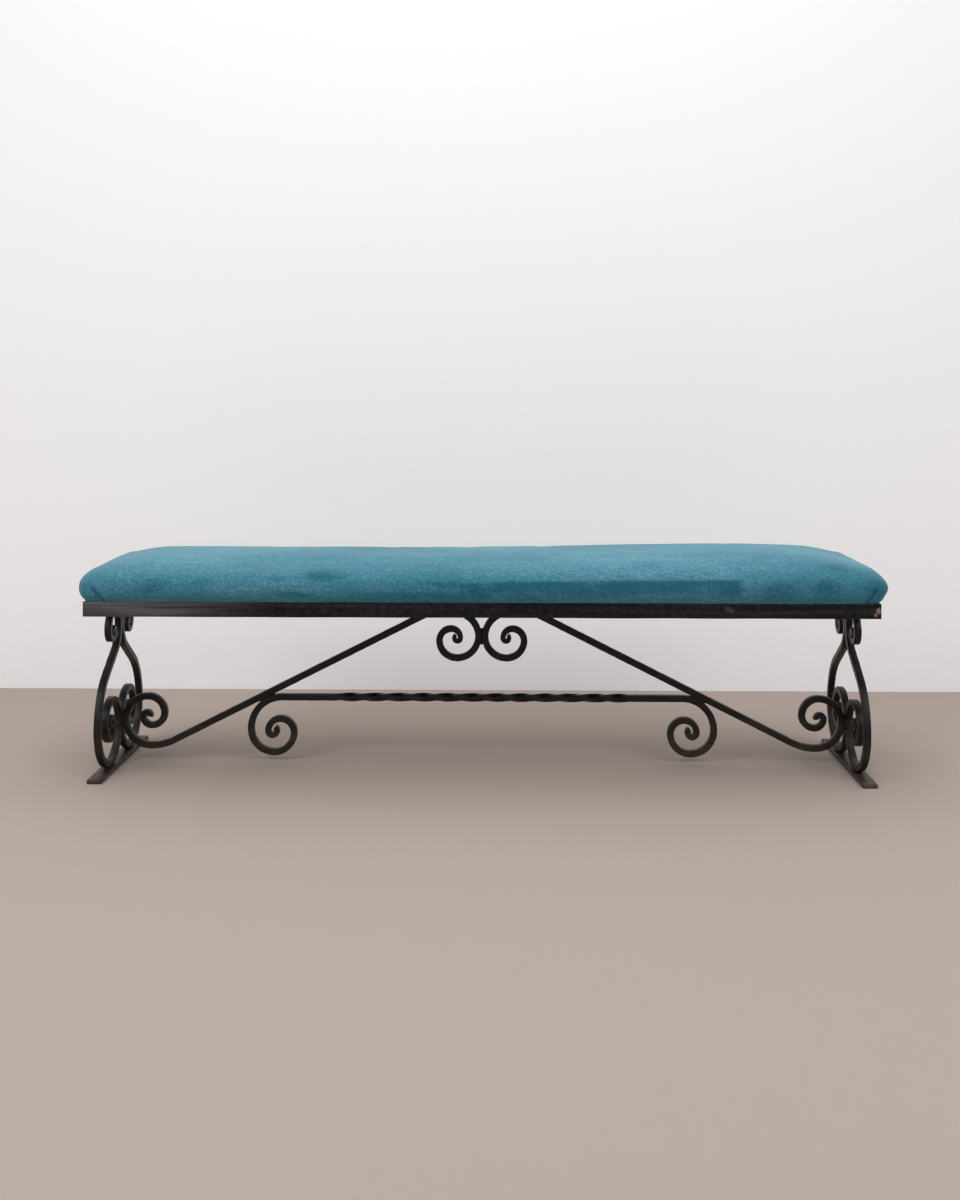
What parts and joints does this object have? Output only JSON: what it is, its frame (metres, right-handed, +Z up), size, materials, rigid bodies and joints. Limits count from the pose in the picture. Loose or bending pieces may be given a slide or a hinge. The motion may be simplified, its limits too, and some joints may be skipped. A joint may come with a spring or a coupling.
{
  "type": "upholstered bench",
  "caption": "Long bench with scrolled wrought-iron legs, diagonal braces, a twisted stretcher and a drop-in padded velvet seat that lifts out of an angle-iron tray.",
  "frame": {"origin": "on the floor, under the middle of the bench", "axes": "+X along the bench to the right as seen from the front, +Y from front to back, +Z up"},
  "size_m": [1.62, 0.43, 0.458],
  "materials": {
    "iron": "satin black, worn on edges and feet",
    "velvet": "teal velvet with a brushed nap",
    "plywood": "bare birch plywood",
    "foam": "open-cell upholstery foam",
    "wadding": "white polyester wadding",
    "dust_cloth": "thin black non-woven cloth",
    "staple_steel": "bright steel wire"
  },
  "bodies": {
    "iron_frame": {"front_rail": "iron", "rear_rail": "iron", "left_end_rail": "iron", "right_end_rail": "iron", "left_cross_bar": "iron", "right_cross_bar": "iron", "left_leg_front_scroll": "iron", "left_leg_rear_scroll": "iron", "right_leg_front_scroll": "iron", "right_leg_rear_scroll": "iron", "left_foot_bar": "iron", "right_foot_bar": "iron", "left_brace": "iron", "right_brace": "iron", "twisted_stretcher": "iron", "frame_corner_welds": "iron", "cross_bar_welds": "iron", "leg_top_welds": "iron", "leg_foot_welds": "iron", "leg_neck_welds": "iron", "leg_curl_welds": "iron", "brace_leg_welds": "iron", "brace_top_welds": "iron", "brace_pair_welds": "iron", "stretcher_welds": "iron"},
    "seat_pad": {"seat_board": "plywood", "foam_block": "foam", "wadding": "wadding", "velvet_cover": "velvet", "dust_cover": "dust_cloth", "cover_staples": "staple_steel", "dust_cover_staples": "staple_steel"}
  },
  "joints": [
    {"name": "seat_lift", "type": "slide", "parent": "iron_frame", "child": "seat_pad", "axis": [0, 0, 1], "range_m": [0, 0.08]}
  ]
}
